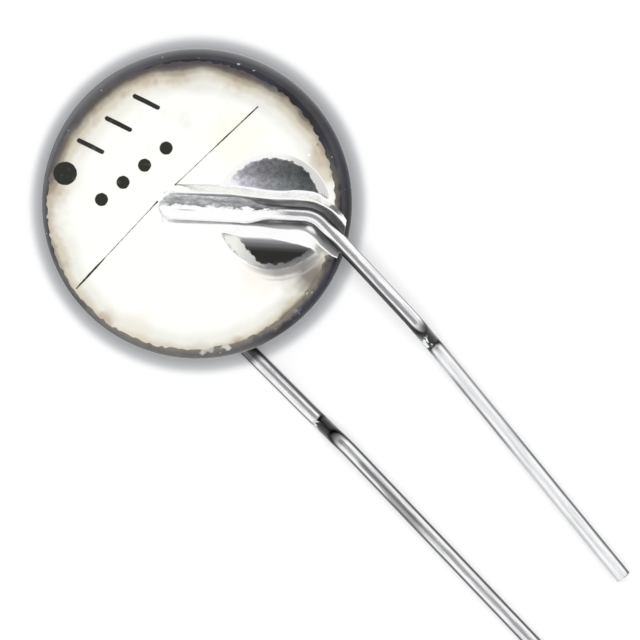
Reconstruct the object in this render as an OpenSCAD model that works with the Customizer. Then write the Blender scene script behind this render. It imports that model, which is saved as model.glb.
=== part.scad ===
// Leaded disc thermistor: a ceramic disc with a fired silver electrode on each face
// and a round tinned wire soldered across each electrode.
// The disc lies on its back wire. X is the way the leads run, Z is the disc's axis.

/* [Ceramic disc] */
// Diameter of the ceramic disc
disc_d = 12; // [10:0.5:16]
// Thickness of the ceramic disc
disc_t = 2.2; // [1.6:0.1:3.5]
// Radius of the rounded rim between each face and the side
rim_r = 0.55; // [0.3:0.05:0.75]

/* [Electrodes] */
// Diameter of the silver electrodes
electrode_d = 11.1; // [9:0.1:11.2]
// Thickness of the silver film
electrode_t = 0.03; // [0.02:0.01:0.06]
// How far the front electrode is printed off centre along the leads
electrode_dx = -0.1; // [-0.2:0.05:0.2]
// How far the front electrode is printed off centre across the leads
electrode_dy = -0.2; // [-0.2:0.05:0.2]

/* [Wire on the face] */
// Diameter of the round wire
wire_d = 0.6; // [0.5:0.05:0.7]
// Width of the flattened end of the wire
blade_w = 1.05; // [0.8:0.05:1.2]
// Thickness of the flattened end of the wire
blade_t = 0.3; // [0.2:0.05:0.4]
// Length of the flattened end of the wire
blade_l = 3.1; // [2:0.1:3.6]
// Length of the change from the flattened end to the round wire
taper_l = 1.2; // [0.8:0.1:1.5]
// Length of the wire on the face, from its end to the corner
face_l = 6; // [5.6:0.1:6.4]
// Angle at which the wire crosses the face, from the way the leads run
face_angle = 42; // [35:1:50]
// Place of the corner along the leads, from the disc's axis
corner_x = 3.55; // [3.3:0.05:3.8]
// Place of the front lead's corner across the leads, from the disc's axis
front_corner_y = 2.9; // [2.6:0.05:3]
// Place of the back lead's corner across the leads, from the disc's axis
back_corner_y = 2.63; // [2.55:0.02:2.95]
// Radius of the wire's centre line at the corner
corner_r = 1; // [1:0.1:1.5]

/* [Leads] */
// Reach of both leads, from the disc's axis to their cut ends
reach = 21.9; // [16:0.1:35]
// Place of the middle of the joggle, from the disc's axis
joggle_x = 9.8; // [8.5:0.1:12]
// Slope of the wire in the joggle
joggle_angle = 60; // [50:1:70]
// Radius of the wire's centre line in the bends of the joggle
joggle_r = 0.5; // [0.4:0.05:0.6]
// Angle by which the front lead leans inward on the disc
front_lean_in = 2.1; // [0:0.1:2.4]
// Angle by which the front lead leans inward in its joggle
front_lean_mid = 3.9; // [2.5:0.1:5]
// Angle by which the front lead leans inward from its joggle on
front_lean_out = 5.8; // [5:0.1:6]
// Angle by which the back lead leans inward in its joggle
back_lean_mid = 2; // [0.5:0.1:3]
// Angle by which the back lead leans outward from its joggle on
back_lean_out = 1.4; // [0:0.1:3]

/* [Solder] */
// Thickness of the solder under the wire
bed_t = 0.04; // [0.02:0.01:0.08]
// Width of the ridge of solder at the foot of the wire
ridge_w = 1.9; // [1.6:0.05:2]
// Height of the ridge of solder beside the wire
ridge_h = 0.46; // [0.36:0.02:0.5]
// Length of the ridge along the wire
ridge_l = 7.6; // [7:0.1:7.8]
// How far from the disc's axis the ridge reaches
ridge_reach = 5.8; // [5.5:0.05:5.9]
// Diameter of the round pool of solder
pool_d = 3.9; // [3:0.1:4.2]
// Height of the pool of solder at its middle
pool_h = 0.24; // [0.15:0.01:0.3]
// Place of the pool along the wire, from the wire's end
pool_s = 4.4; // [3.8:0.1:4.6]
// Radius of the raised lip around the pool
lip_r = 0.08; // [0.05:0.01:0.12]

/* [Marking] */
// Thickness of the ink
ink_t = 0.02; // [0.01:0.01:0.04]
// Length of each slanted stroke
stroke_l = 1.15; // [0.8:0.05:1.3]
// Width of each slanted stroke
stroke_w = 0.18; // [0.12:0.02:0.3]
// Diameter of each small dot
dot_d = 0.5; // [0.3:0.05:0.7]
// Diameter of the large dot near the rim
index_d = 0.9; // [0.6:0.05:1]
// Width of the fine line across the electrode
line_w = 0.05; // [0.04:0.01:0.1]

/* [Hidden] */
$fn = 64;
tiny = 0.01;
wire_r = wire_d / 2;
// Heights are measured from the middle plane of the disc
face_z = disc_t / 2 + electrode_t;
wire_z = face_z + bed_t + wire_r;
rest_z = wire_z + wire_r;
// The disc's axis stands at this X, which centres the whole part on the origin
disc_x = -(reach - disc_d / 2) / 2;
// The flattened end is level with the outside of the round wire
blade_rise = wire_r - blade_t / 2;
// The joggle brings each lead to the middle plane of the disc
slope_l = (wire_z - 2 * joggle_r * (1 - cos(joggle_angle))) / sin(joggle_angle);
joggle_l = 2 * joggle_r * sin(joggle_angle) + slope_l * cos(joggle_angle);
lean_r = 8;
// Two stretches of wire meet inside a short collar, hardly wider than the wire
collar_l = 0.04;
collar_r = wire_r + 0.005;
ridge_steps = 20;
pool_steps = 8;
// Each lead has the place of its corner and its ways before, in and after the joggle
front = [[corner_x, front_corner_y], -front_lean_in, -front_lean_mid, -front_lean_out];
back = [[corner_x, back_corner_y], 0, -back_lean_mid, back_lean_out];
// The two rows of marks are turned a little from straight across the leads
row_turn = -6.5;
stroke_slant = 25;
stroke_row_x = -4.27;
stroke_row_y = [-1.83, -0.46, 0.91];
dot_row_x = -2.4;
dot_row_y = [-2.78, -1.72, -0.66, 0.4];
index_place = [-4.4, -2.77];
// The fine line stops at the end of the wire and goes on beyond it, a little turned
low_line = [[-0.96, -5.6], [-1.12, -1]];
high_line = [[-1.09, -0.1], [-0.97, 4.3]];

// Moves a piece from the disc's own frame to its place on the surface it lies on
module placed() {
    translate([disc_x, 0, rest_z]) children();
}

// Turns a piece over the leads' way, from the front of the disc to its back
module turned_over() {
    rotate([180, 0, 0]) children();
}

// The disc with its rounded rim, made larger all round by grow
module rounded_disc(grow) {
    r = rim_r + grow;
    flat_r = disc_d / 2 - rim_r;
    side_h = disc_t - 2 * rim_r;
    rotate_extrude() {
        translate([0, -disc_t / 2 - grow]) square([flat_r, disc_t + 2 * grow]);
        translate([0, -side_h / 2]) square([disc_d / 2 + grow, side_h]);
        for (side = [-1, 1])
            intersection() {
                translate([flat_r, side * side_h / 2]) circle(r = r);
                translate([flat_r, side > 0 ? side_h / 2 : -side_h / 2 - r]) square([r, r]);
            }
    }
}

// A film on the front of the disc that follows the rim, with the outline of its children
module film(low, high) {
    difference() {
        intersection() {
            rounded_disc(high);
            linear_extrude(disc_t) children();
        }
        rounded_disc(low);
    }
}

// The collar where a stretch of wire meets the one before it
module collar() {
    rotate([0, 90, 0]) cylinder(r = collar_r, h = collar_l, center = true);
}

// A straight stretch of round wire along X, then what follows it
module run(length) {
    collar();
    rotate([0, 90, 0]) cylinder(r = wire_r, h = length);
    translate([length, 0, 0]) children();
}

// A bend of round wire to the left, or with a roll to another side, then what follows it
module bend(radius, angle, roll = 0) {
    collar();
    rotate([roll, 0, 0]) {
        translate([0, radius, 0]) rotate(-90)
            rotate_extrude(angle = angle) translate([radius, 0]) circle(r = wire_r);
        translate([radius * sin(angle), radius * (1 - cos(angle)), 0]) rotate(angle)
            rotate([-roll, 0, 0]) children();
    }
}

// Length along the leads of the wide bend between two ways
function lean_l(from, to) = lean_r * abs(sin(to) - sin(from));

// The wide bend by which a lead changes from one way to another
module lean(from, to) {
    bend(lean_r, abs(to - from), to < from ? 180 : 0) children();
}

// The section of the flattened end, half of it or all of it, made smaller all round by less
module blade_section(sides, less = 0) {
    straight = blade_w / 2 - blade_t / 2;
    thick = blade_t - 2 * less;
    for (side = sides) {
        translate([side * straight, 0]) circle(d = thick);
        translate([side > 0 ? 0 : -straight, -thick / 2]) square([straight, thick]);
    }
}

// The flattened end with its round tip at the origin, and the change to the round wire
module blade() {
    translate([blade_w / 2, 0, blade_rise]) {
        rotate(90) rotate_extrude(angle = 180) blade_section([1]);
        rotate([90, 0, 90]) linear_extrude(blade_l - blade_w / 2) blade_section([-1, 1]);
    }
    hull() {
        translate([blade_l - tiny, 0, blade_rise])
            rotate([90, 0, 90]) linear_extrude(tiny) blade_section([-1, 1], tiny / 2, $fn = 32);
        translate([blade_l + taper_l, 0, 0])
            rotate([0, 90, 0]) cylinder(r = wire_r - tiny / 2, h = tiny, $fn = 32);
    }
}

// One lead as it lies on the front of the disc
module lead(side) {
    way_in = side[1];
    way_mid = side[2];
    way_out = side[3];
    turn = face_angle - way_in;
    corner_l = corner_r * tan(turn / 2);
    rim_l = (joggle_x - joggle_l / 2 - lean_l(way_in, way_mid) - corner_x) / cos(way_in)
        - corner_l;
    tail_l = (reach - joggle_x - joggle_l / 2 - lean_l(way_mid, way_out)) / cos(way_out);
    translate([side[0].x, side[0].y, wire_z]) rotate(face_angle) translate([-face_l, 0, 0]) {
        blade();
        translate([blade_l + taper_l, 0, 0])
            run(face_l - blade_l - taper_l - corner_l)
            bend(corner_r, turn, 180)
            run(rim_l)
            lean(way_in, way_mid)
            bend(joggle_r, joggle_angle, -90)
            run(slope_l)
            bend(joggle_r, joggle_angle, 90)
            lean(way_mid, way_out)
            run(tail_l);
    }
}

function heading(angle) = [cos(angle), sin(angle)];

// Place and way of the wire's centre line at a distance from its end, seen on the face
function along_wire(distance, side) =
    let (turn = face_angle - side[1],
         straight_l = face_l - corner_r * tan(turn / 2),
         turned = max(0, min(turn, (distance - straight_l) / corner_r * 180 / PI)),
         beyond = max(0, distance - straight_l - corner_r * turn * PI / 180),
         chord = 2 * corner_r * sin(turned / 2))
    [side[0] + (min(distance, straight_l) - face_l) * heading(face_angle)
         + chord * heading(face_angle - turned / 2) + beyond * heading(side[1]),
     face_angle - turned];

// How wide and high the ridge stands at a part of its length, from 0 to 1: round at both ends
function ridge_size(part) =
    let (edge = min(1, 6 * min(part + 0.02, 1.02 - part)))
    sqrt(edge * (2 - edge));

// The outline of the ridge across the wire at a part of its length, as points in space
function ridge_outline(part, side) =
    let (at = along_wire(ridge_l * part, side),
         across = heading(at[1] + 90),
         foot = ridge_size(part) * ridge_w / 2,
         narrowing = max(0, min(1, (ridge_l * part - blade_l) / taper_l)),
         top = min(foot, blade_w * 0.4 * (1 - narrowing) + wire_r * 0.6 * narrowing),
         top_z = ridge_size(part) * ridge_h)
    [for (p = [[-foot, -rim_r], [foot, -rim_r], [foot, -bed_t], [top, top_z],
               [-top, top_z], [-foot, -bed_t]])
        [at[0].x + p[0] * across.x, at[0].y + p[0] * across.y, face_z + p[1]]];

// The ridge of solder along the wire, from its end past the corner and over the rim
module ridge(side) {
    n = 6;
    last = n * ridge_steps;
    points = [for (i = [0 : ridge_steps]) each ridge_outline(i / ridge_steps, side)];
    faces = [for (i = [0 : n : last - n], j = [0 : n - 1]) let (k = (j + 1) % n)
        each [[i + j, i + n + k, i + k], [i + j, i + n + j, i + n + k]]];
    caps = [for (j = [1 : n - 2]) each [[0, j, j + 1], [last, last + j + 1, last + j]]];
    polyhedron(points, concat(faces, caps));
}

// The round pool of solder under the wire, a low dome with a raised lip
module pool(side) {
    dome = [for (i = [0 : pool_steps]) let (a = 90 * i / pool_steps)
        [pool_d / 2 * sin(a), pool_h * (1 + cos(2 * a)) / 2]];
    at = along_wire(pool_s, side);
    translate([at[0].x, at[0].y, face_z - tiny]) {
        rotate_extrude() polygon(concat(dome, [[pool_d / 2, -tiny], [0, -tiny]]));
        rotate_extrude() translate([pool_d / 2, 0]) circle(r = lip_r, $fn = 16);
    }
}

// The whole solder joint on the front, cut to the rim, the film and the wire
module solder(side) {
    difference() {
        intersection() {
            union() {
                ridge(side);
                pool(side);
            }
            cylinder(r = ridge_reach, h = rest_z);
        }
        rounded_disc(electrode_t);
        lead(side);
    }
}

// A straight strip of a width between two points
module strip(from, to, width) {
    way = to - from;
    translate(from) rotate(atan2(way.y, way.x))
        translate([0, -width / 2]) square([norm(way), width]);
}

// The outlines of the printed marks and the fine line across the electrode
module mark_outlines() {
    translate(index_place) circle(d = index_d);
    rotate(row_turn) {
        for (y = stroke_row_y)
            translate([stroke_row_x, y]) rotate(stroke_slant) {
                square([stroke_l - stroke_w, stroke_w], center = true);
                for (end = [-1, 1])
                    translate([end * (stroke_l - stroke_w) / 2, 0]) circle(d = stroke_w);
            }
        for (y = dot_row_y)
            translate([dot_row_x, y]) circle(d = dot_d);
    }
    strip(low_line[0], low_line[1], line_w);
    strip(high_line[0], high_line[1], line_w);
}

module ceramic_disc() {
    color([0.27, 0.27, 0.29]) placed() rounded_disc(0);
}

module front_electrode() {
    color([0.95, 0.94, 0.88]) placed()
        film(0, electrode_t) translate([electrode_dx, electrode_dy]) circle(d = electrode_d);
}

module back_electrode() {
    color([0.95, 0.94, 0.88]) placed() turned_over()
        film(0, electrode_t) circle(d = electrode_d);
}

module front_solder() {
    color([0.72, 0.73, 0.74]) placed() solder(front);
}

module back_solder() {
    color([0.72, 0.73, 0.74]) placed() turned_over() solder(back);
}

module front_lead() {
    color([0.82, 0.83, 0.84]) placed() lead(front);
}

module back_lead() {
    color([0.82, 0.83, 0.84]) placed() turned_over() lead(back);
}

module marking() {
    color([0.08, 0.08, 0.07]) placed() film(electrode_t, electrode_t + ink_t) mark_outlines();
}

ceramic_disc();
front_electrode();
back_electrode();
front_solder();
back_solder();
front_lead();
back_lead();
marking();
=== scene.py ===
# %% [markdown]
# # A leaded disc thermistor
# A dark ceramic disc carries a film of fired silver on each face. A tinned wire is soldered
# across each film and bent to the middle of the disc's edge, and clear lacquer covers the disc.
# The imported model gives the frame: every piece here takes the place of a CAD solid.

# %% Load the frame
from itertools import accumulate
from math import cos, hypot, pi, radians, sin, sqrt, tan
import bpy
from mathutils import Matrix, Vector, kdtree


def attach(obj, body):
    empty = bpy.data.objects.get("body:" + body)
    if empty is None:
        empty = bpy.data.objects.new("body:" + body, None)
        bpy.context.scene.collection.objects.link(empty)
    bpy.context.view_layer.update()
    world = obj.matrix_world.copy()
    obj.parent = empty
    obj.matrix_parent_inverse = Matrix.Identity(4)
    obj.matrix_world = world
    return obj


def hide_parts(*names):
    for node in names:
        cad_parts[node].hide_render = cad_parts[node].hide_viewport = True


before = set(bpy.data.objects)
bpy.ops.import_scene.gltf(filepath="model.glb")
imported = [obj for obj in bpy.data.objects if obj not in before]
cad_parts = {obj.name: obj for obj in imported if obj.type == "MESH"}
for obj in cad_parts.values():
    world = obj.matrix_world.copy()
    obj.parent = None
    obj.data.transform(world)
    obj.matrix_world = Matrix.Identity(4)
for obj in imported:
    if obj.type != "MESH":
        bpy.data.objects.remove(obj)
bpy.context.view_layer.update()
print("CAD nodes:", ", ".join(sorted(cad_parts)))

# %% [markdown]
# ## Sizes
# The whole part is 28 mm long, and Blender's tools have limits that such a small thing meets,
# as a jeweller's fingers do. So one Blender unit is one millimetre while a piece is modelled,
# as under a magnifier, and each piece is shrunk to metres when it is done.
# The row's origin lies under the middle of the part, and the disc's axis is at DISC_X.

# %% The sizes of the part, in millimetres
MM, PER_METRE = 0.001, 1000
DISC_X, DISC_R, DISC_T, RIM_R = -7.95, 6.0, 2.2, 0.55
FILM_R, FILM_T = 5.55, 0.03
UPPER_FILM, LOWER_FILM = (-0.1, -0.2), (0.0, 0.0)
WIRE_R, BLADE_W, BLADE_T, BLADE_L, TAPER_L = 0.3, 1.05, 0.3, 3.1, 1.2
FACE_L, FACE_ANGLE, CORNER_X, CORNER_R = 6.0, 42, 3.55, 1.0
REACH, JOGGLE_X, JOGGLE_ANGLE, JOGGLE_R, LEAN_R = 21.9, 9.8, 60, 0.5, 8.0
BED_T, BLADE_ROLL, BLADE_DROP = 0.04, -13, 0.05
FACE_Z = DISC_T / 2 + FILM_T
WIRE_Z = FACE_Z + BED_T + WIRE_R
MID_Z = WIRE_Z + WIRE_R
BEND_DROP = 2 * JOGGLE_R * (1 - cos(radians(JOGGLE_ANGLE)))
SLOPE_L = (WIRE_Z - BEND_DROP) / sin(radians(JOGGLE_ANGLE))
JOGGLE_L = 2 * JOGGLE_R * sin(radians(JOGGLE_ANGLE)) + SLOPE_L * cos(radians(JOGGLE_ANGLE))
# each lead: its corner's place across the leads, its ways on the disc, in the joggle and beyond
UPPER_LEAD, LOWER_LEAD = (2.9, -2.1, -3.9, -5.8), (2.63, 0.0, -2.0, 1.4)
print(f"middle plane {MID_Z:.2f} mm up, joggle {JOGGLE_L:.2f} mm long")

# %% [markdown]
# ## Helpers for working as by hand
# An operator acts on all that is selected, so each step first clears the selection, and then
# picks vertices, edges or faces by their place.

# %% Selecting
def clear_selection():
    if bpy.context.mode != "OBJECT":
        bpy.ops.object.mode_set(mode="OBJECT")
    bpy.ops.object.select_all(action="DESELECT")


def only(piece):
    """Selects one piece alone and makes it the active one."""
    clear_selection()
    piece.select_set(True)
    bpy.context.view_layer.objects.active = piece


def add(primitive, name, **settings):
    """Adds a primitive with nothing else selected, and names it."""
    clear_selection()
    primitive(**settings)
    piece = bpy.context.object
    piece.name = piece.data.name = name
    return piece


def take_all():
    bpy.ops.mesh.select_all(action="SELECT")


def edit_all():
    """Opens the selected piece for editing, all of it selected."""
    bpy.ops.object.mode_set(mode="EDIT")
    take_all()


def leave_editing():
    bpy.ops.object.mode_set(mode="OBJECT")


def shift(*way):
    bpy.ops.transform.translate(value=way)


def resize(size, middle):
    bpy.ops.transform.resize(value=size, center_override=middle)


def edit_circle(name, sides, radius, place, turn=(0, 0, 0)):
    """Adds a filled circle at its place and opens it for editing."""
    circle = add(bpy.ops.mesh.primitive_circle_add, name, vertices=sides, radius=radius,
                 fill_type="NGON", location=place, rotation=turn)
    bpy.ops.object.transform_apply()
    edit_all()
    return circle


def pick(piece, test, kind="VERT"):
    """Selects the vertices, edges or faces whose middle passes the test."""
    bpy.ops.mesh.select_mode(type=kind)
    bpy.ops.mesh.select_all(action="DESELECT")
    leave_editing()
    mesh = piece.data
    points = [v.co for v in mesh.vertices]
    for item in {"VERT": mesh.vertices, "EDGE": mesh.edges, "FACE": mesh.polygons}[kind]:
        ends = [item.index] if kind == "VERT" else item.vertices
        item.select = test(sum((points[end] for end in ends), Vector()) / len(ends))
    bpy.ops.object.mode_set(mode="EDIT")


print("a unit is a millimetre here")

# %% [markdown]
# A finished piece's object sits at the origin, unturned and unscaled, with its place in its
# mesh. Numbers that a material needs on the surface are written to the vertices by name.

# %% Modifying, moving and measuring
def modify(piece, kind, **settings):
    """Adds a modifier to the piece and applies it."""
    only(piece)
    modifier = piece.modifiers.new(kind.title(), kind)
    for key, value in settings.items():
        setattr(modifier, key, value)
    bpy.ops.object.modifier_apply(modifier=modifier.name)


def move_mesh(piece, matrix):
    """Moves and turns a piece in its mesh, so that its object stays at the origin."""
    only(piece)
    piece.matrix_world = matrix
    bpy.ops.object.transform_apply()


def join(pieces):
    only(pieces[0])
    for piece in pieces[1:]:
        piece.select_set(True)
    bpy.ops.object.join()
    return bpy.context.object


def places_of(piece):
    return [v.co.copy() for v in piece.data.vertices]


def store(piece, name, values):
    """Writes a number or a vector to every vertex, under a name that a material can read."""
    kind = "FLOAT" if isinstance(values[0], float) else "FLOAT_VECTOR"
    layer = piece.data.attributes.new(name, kind, "POINT")
    for item, value in zip(layer.data, values):
        setattr(item, "value" if kind == "FLOAT" else "vector", value)


def between(table, at):
    """The value of a table of (place, value) pairs at a place between them."""
    for (low, first), (high, second) in zip(table, table[1:]):
        if at <= high:
            return first + (second - first) * max(0, at - low) / (high - low)
    return table[-1][1]


def report(piece):
    size = " x ".join(f"{max(side) - min(side):.2f}" for side in zip(*places_of(piece)))
    print(f"{piece.name}: {len(piece.data.polygons)} faces, {size}")


print("meshes can be moved, joined and measured")

# %% [markdown]
# ## Camera
# The photograph looks straight down on the part as it lies on its lower wire. The leads run
# to the lower right, so the camera is turned by 45 degrees about the upright axis.

# %% The camera
VIEW_X, VIEW_Y, VIEW_WIDTH, VIEW_UP, VIEW_TURN = -1.42, 0.178, 24.78, 200.0, 45
SENSOR, NEAREST = 36.0, 0.01
clear_selection()
bpy.ops.object.camera_add(location=(VIEW_X * MM, VIEW_Y * MM, (MID_Z + VIEW_UP) * MM),
                          rotation=(0, 0, radians(VIEW_TURN)))
camera = bpy.context.object
camera.data.sensor_width = SENSOR
camera.data.lens = SENSOR * VIEW_UP / VIEW_WIDTH
camera.data.clip_start = NEAREST
bpy.context.scene.camera = camera
print(f"camera {VIEW_UP:.0f} mm up, lens {camera.data.lens:.0f} mm")

# %% [markdown]
# ## How a material is written here
# Every helper adds its nodes to `tree`, the node tree that is being built. What a node puts out
# is a Signal, and a sum, difference or product of signals adds a Math node, so that a mask is
# written as a formula. Between two values `rise` goes softly from 0 to its top, `fall` goes back
# to 0, and `fade` goes from one number to another.

# %% Signals
class Signal:
    """What a node puts out."""

    def __init__(self, socket):
        self.socket = socket

    def __add__(self, other):
        return calc("ADD", self, other)

    def __sub__(self, other):
        return calc("SUBTRACT", self, other)

    def __rsub__(self, other):
        return calc("SUBTRACT", other, self)

    def __mul__(self, other):
        return calc("MULTIPLY", self, other)

    def __abs__(self):
        return calc("ABSOLUTE", self)


def fill(socket, value):
    """Links a signal to an input, or writes a number, a vector or a colour there."""
    if isinstance(value, Signal):
        tree.links.new(value.socket, socket)
    else:
        socket.default_value = (*value, 1) if socket.type == "RGBA" else value


def add_node(kind, inputs=None, **settings):
    """Adds a node to the tree that is being built, sets it and fills its inputs."""
    made = tree.nodes.new("ShaderNode" + kind)
    for key, value in settings.items():
        setattr(made, key, value)
    for key, value in (inputs or {}).items():
        fill(made.inputs[key], value)
    return made


def out(kind, inputs=None, output=0, **settings):
    """Adds a node and gives one of its outputs."""
    return Signal(add_node(kind, inputs, **settings).outputs[output])


def in_order(values):
    return dict(enumerate(values))


def calc(operation, *values):
    return out("Math", in_order(values), operation=operation)


print("signals can be added and multiplied")

# %% Fades, colours and materials
def largest(first, second):
    return calc("MAXIMUM", first, second)


def mix(factor, first, second, blend="MIX"):
    """Mixes two colours."""
    return out("Mix", {0: factor, 6: first, 7: second}, 2, data_type="RGBA", blend_type=blend)


def fade(value, low, high, to_low, to_high):
    """Turns values from low to high softly into values from to_low to to_high."""
    ends = {"From Min": low, "From Max": high, "To Min": to_low, "To Max": to_high}
    return out("MapRange", {"Value": value, **ends}, interpolation_type="SMOOTHSTEP")


def rise(value, low, high, top=1.0):
    return fade(value, low, high, 0.0, top)


def fall(value, low, high, top=1.0):
    return fade(value, low, high, top, 0.0)


def colour_ramp(value, low, high, stops, softly=True):
    """Turns values from low to high into the colours at the stops, which lie from 0 to 1."""
    share = out("MapRange", {"Value": value, "From Min": low, "From Max": high})
    ramp = add_node("ValToRGB", {"Fac": share})
    ramp.color_ramp.interpolation = "EASE" if softly else "LINEAR"
    first, last = ramp.color_ramp.elements
    for element, (at, shade) in ((first, stops[0]), (last, stops[-1])):
        element.position, element.color = at, (*shade, 1)
    for at, shade in stops[1:-1]:
        ramp.color_ramp.elements.new(at).color = (*shade, 1)
    return Signal(ramp.outputs["Color"])


def grey(value):
    return (value,) * 3


def new_material(name, *pieces):
    """Puts a new material on its pieces and gives its empty node tree."""
    material = bpy.data.materials.new(name)
    material.use_nodes = True
    material.node_tree.nodes.clear()
    for piece in pieces:
        piece.data.materials.clear()
        piece.data.materials.append(material)
    return material.node_tree


def tell_nodes(title):
    print(f"{title}: {len(tree.nodes)} nodes so far")


def close_material(shader):
    """Ends a material with its shader."""
    add_node("OutputMaterial", {"Surface": shader})
    tell_nodes("finished")


print("fades and colours are ready")

# %% [markdown]
# ## Floor, world and lights
# The part lies on a white sheet under a soft lamp, with a white room all round. The camera and
# shiny surfaces see that room as pure white, through the Light Path node, while matt surfaces
# get less light from it, so that their colours come out as they are written.

# %% The room, which is the world
ROOM_LIGHT, WHITE = (0.47, 0.475, 0.48), (1, 1, 1)


def seen_by_eye_or_mirror():
    """1 for what the camera sees, straight, in a mirror or through glass."""
    rays = [out("LightPath", output=f"Is {kind} Ray") for kind in ("Camera", "Glossy")]
    return largest(largest(*rays), out("LightPath", output="Is Transmission Ray"))


world = bpy.data.worlds.new("white_room")
world.use_nodes = True
bpy.context.scene.world = world
tree = world.node_tree
tree.nodes.clear()
room_colour = mix(seen_by_eye_or_mirror(), ROOM_LIGHT, WHITE)
room = out("Background", {"Color": room_colour, "Strength": 1.0})
add_node("OutputWorld", {"Surface": room})
print("the room lights matt surfaces with", ROOM_LIGHT)

# %% [markdown]
# The disc stands clear of the sheet and shades a narrow ring of it. The sheet is seen as pure
# white elsewhere, so it glows a little, and the ring is written into its colour by the distance
# from the disc's axis.

# %% The floor, a white sheet
FLOOR_SIZE, FLOOR_LIFT, PAPER_GREY = 2.0, 0.24, 0.8
RING_FROM, RING_TO = 6.0, 6.8
RING_SHADES = [(0.2, (0.5, 0.505, 0.52)), (0.41, (0.565, 0.57, 0.585)),
               (0.51, (0.62, 0.625, 0.64)), (0.6, (0.72, 0.725, 0.735)),
               (0.7, (0.83, 0.832, 0.838)), (0.8, (0.94, 0.941, 0.943)), (0.95, WHITE)]


def in_millimetres(height):
    """The place in millimetres from the disc's axis, and from a height."""
    return out("Mapping", {"Vector": out("TexCoord", output="Object"),
                           "Location": (-DISC_X, 0, -height), "Scale": (PER_METRE,) * 3})


floor = add(bpy.ops.mesh.primitive_plane_add, "white_sheet", size=FLOOR_SIZE)
tree = new_material("sheet_white", floor)
away = out("VectorMath", {0: in_millimetres(0)}, "Value", operation="LENGTH")
shade = colour_ramp(away, RING_FROM, RING_TO, RING_SHADES, softly=False)
paper_colour = mix(1.0, shade, grey(PAPER_GREY), "MULTIPLY")
paper = out("BsdfPrincipled", {"Base Color": paper_colour, "Roughness": 0.9,
                               "Specular IOR Level": 0.0})
lift = seen_by_eye_or_mirror() * FLOOR_LIFT
glow = out("Emission", {"Color": shade, "Strength": lift})
close_material(out("AddShader", {0: paper, 1: glow}))

# %% [markdown]
# A small round lamp straight above gives the disc a narrow soft shadow, which the ring painted on
# the sheet deepens.
# The lens and its dark hood hang over the part too: flat metal mirrors them and turns grey.

# %% The lamp and the dark hood above it, in metres
LAMP_R, LAMP_UP, LAMP_WATTS = 0.05, 0.22, 0.3
HOOD_R, HOOD_UP, HOOD_GREY, HOOD_SIDES = 0.14, 0.24, 0.33, 64
OVER_X = VIEW_X * MM - 0.004
bpy.ops.object.light_add(type="AREA", location=(OVER_X, 0, LAMP_UP))
lamp = bpy.context.object
lamp.name = "soft_lamp"
lamp.data.shape, lamp.data.size, lamp.data.energy = "DISK", 2 * LAMP_R, LAMP_WATTS
lamp.visible_glossy = lamp.visible_camera = False
hood = add(bpy.ops.mesh.primitive_circle_add, "dark_hood", vertices=HOOD_SIDES,
           radius=HOOD_R, fill_type="NGON", location=(OVER_X, 0, HOOD_UP))
tree = new_material("hood_felt", hood)
close_material(out("Emission", {"Color": grey(HOOD_GREY), "Strength": 1.0}))
hood.visible_camera = hood.visible_diffuse = False
hood.visible_shadow = hood.visible_transmission = False
print(f"lamp of {LAMP_WATTS} W, {LAMP_UP * PER_METRE:.0f} mm up")

# %% [markdown]
# ## The ceramic disc
# A pressed and fired disc has a rounded rim. It could be turned from a profile with Spin, but a
# cylinder with its two rim edges bevelled gives the same shape in fewer steps. Rings are inset
# in its faces, so that no face there is large.

# %% Model the ceramic disc
DISC_SIDES, RIM_STEPS, FACE_RINGS = 160, 12, (0.4, 1.0, 1.6)


def on_rim(p):
    return abs(abs(p.z) - DISC_T / 2) < 0.01 and hypot(p.x, p.y) > DISC_R - 0.1


disc = add(bpy.ops.mesh.primitive_cylinder_add, "ceramic_body", vertices=DISC_SIDES,
           radius=DISC_R, depth=DISC_T)
edit_all()
pick(disc, on_rim, "EDGE")
bpy.ops.mesh.bevel(offset=RIM_R, segments=RIM_STEPS, profile=0.5)
pick(disc, lambda p: hypot(p.x, p.y) < 1, "FACE")
for ring in FACE_RINGS:
    bpy.ops.mesh.inset(thickness=ring)
leave_editing()
modify(disc, "SUBSURF", subdivision_type="SIMPLE", levels=1, render_levels=1)
report(disc)

# %% [markdown]
# ## The silver films
# Silver paste is printed on each face and fired. Its edge runs a little over the rounded rim
# and is ragged. A flat disc with rings near its edge is shaken at the rim, then laid on the
# ceramic by Shrinkwrap, and Solidify gives it its thickness.

# %% Model the silver films
FILM_SIDES, FILM_RINGS, FILM_SHAKE = 240, (0.05, 0.07, 0.12, 0.2, 0.4, 1.0, 1.5), 0.05
CLEARANCE = 0.002


def lay_down(piece, ground, thickness):
    """Drops a flat piece on the ground below it and thickens it upwards."""
    modify(piece, "SHRINKWRAP", target=ground, wrap_method="PROJECT", use_project_z=True,
           use_negative_direction=True, use_positive_direction=False, offset=CLEARANCE)
    modify(piece, "SOLIDIFY", thickness=thickness, offset=1)


def draw_film(name, middle, seed):
    film = edit_circle(name, FILM_SIDES, FILM_R, (*middle, DISC_T))
    for ring in FILM_RINGS:
        bpy.ops.mesh.inset(thickness=ring)
    pick(film, lambda p: hypot(p.x - middle[0], p.y - middle[1]) > FILM_R - 0.02)
    bpy.ops.transform.vertex_random(offset=FILM_SHAKE, uniform=1, seed=seed)
    leave_editing()
    lay_down(film, disc, FILM_T)
    report(film)
    return film


upper_film = draw_film("upper_silver", UPPER_FILM, 5)
lower_film = draw_film("lower_silver", LOWER_FILM, 9)

# %% [markdown]
# ## The printed marks
# A stamp leaves thin raised ink: a round dot near the rim, a row of slanted strokes and a row
# of dots. A circle gives the dots, and pulling its two halves apart gives a stroke with round
# ends. Each shape is modelled once, flat above the disc.

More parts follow.
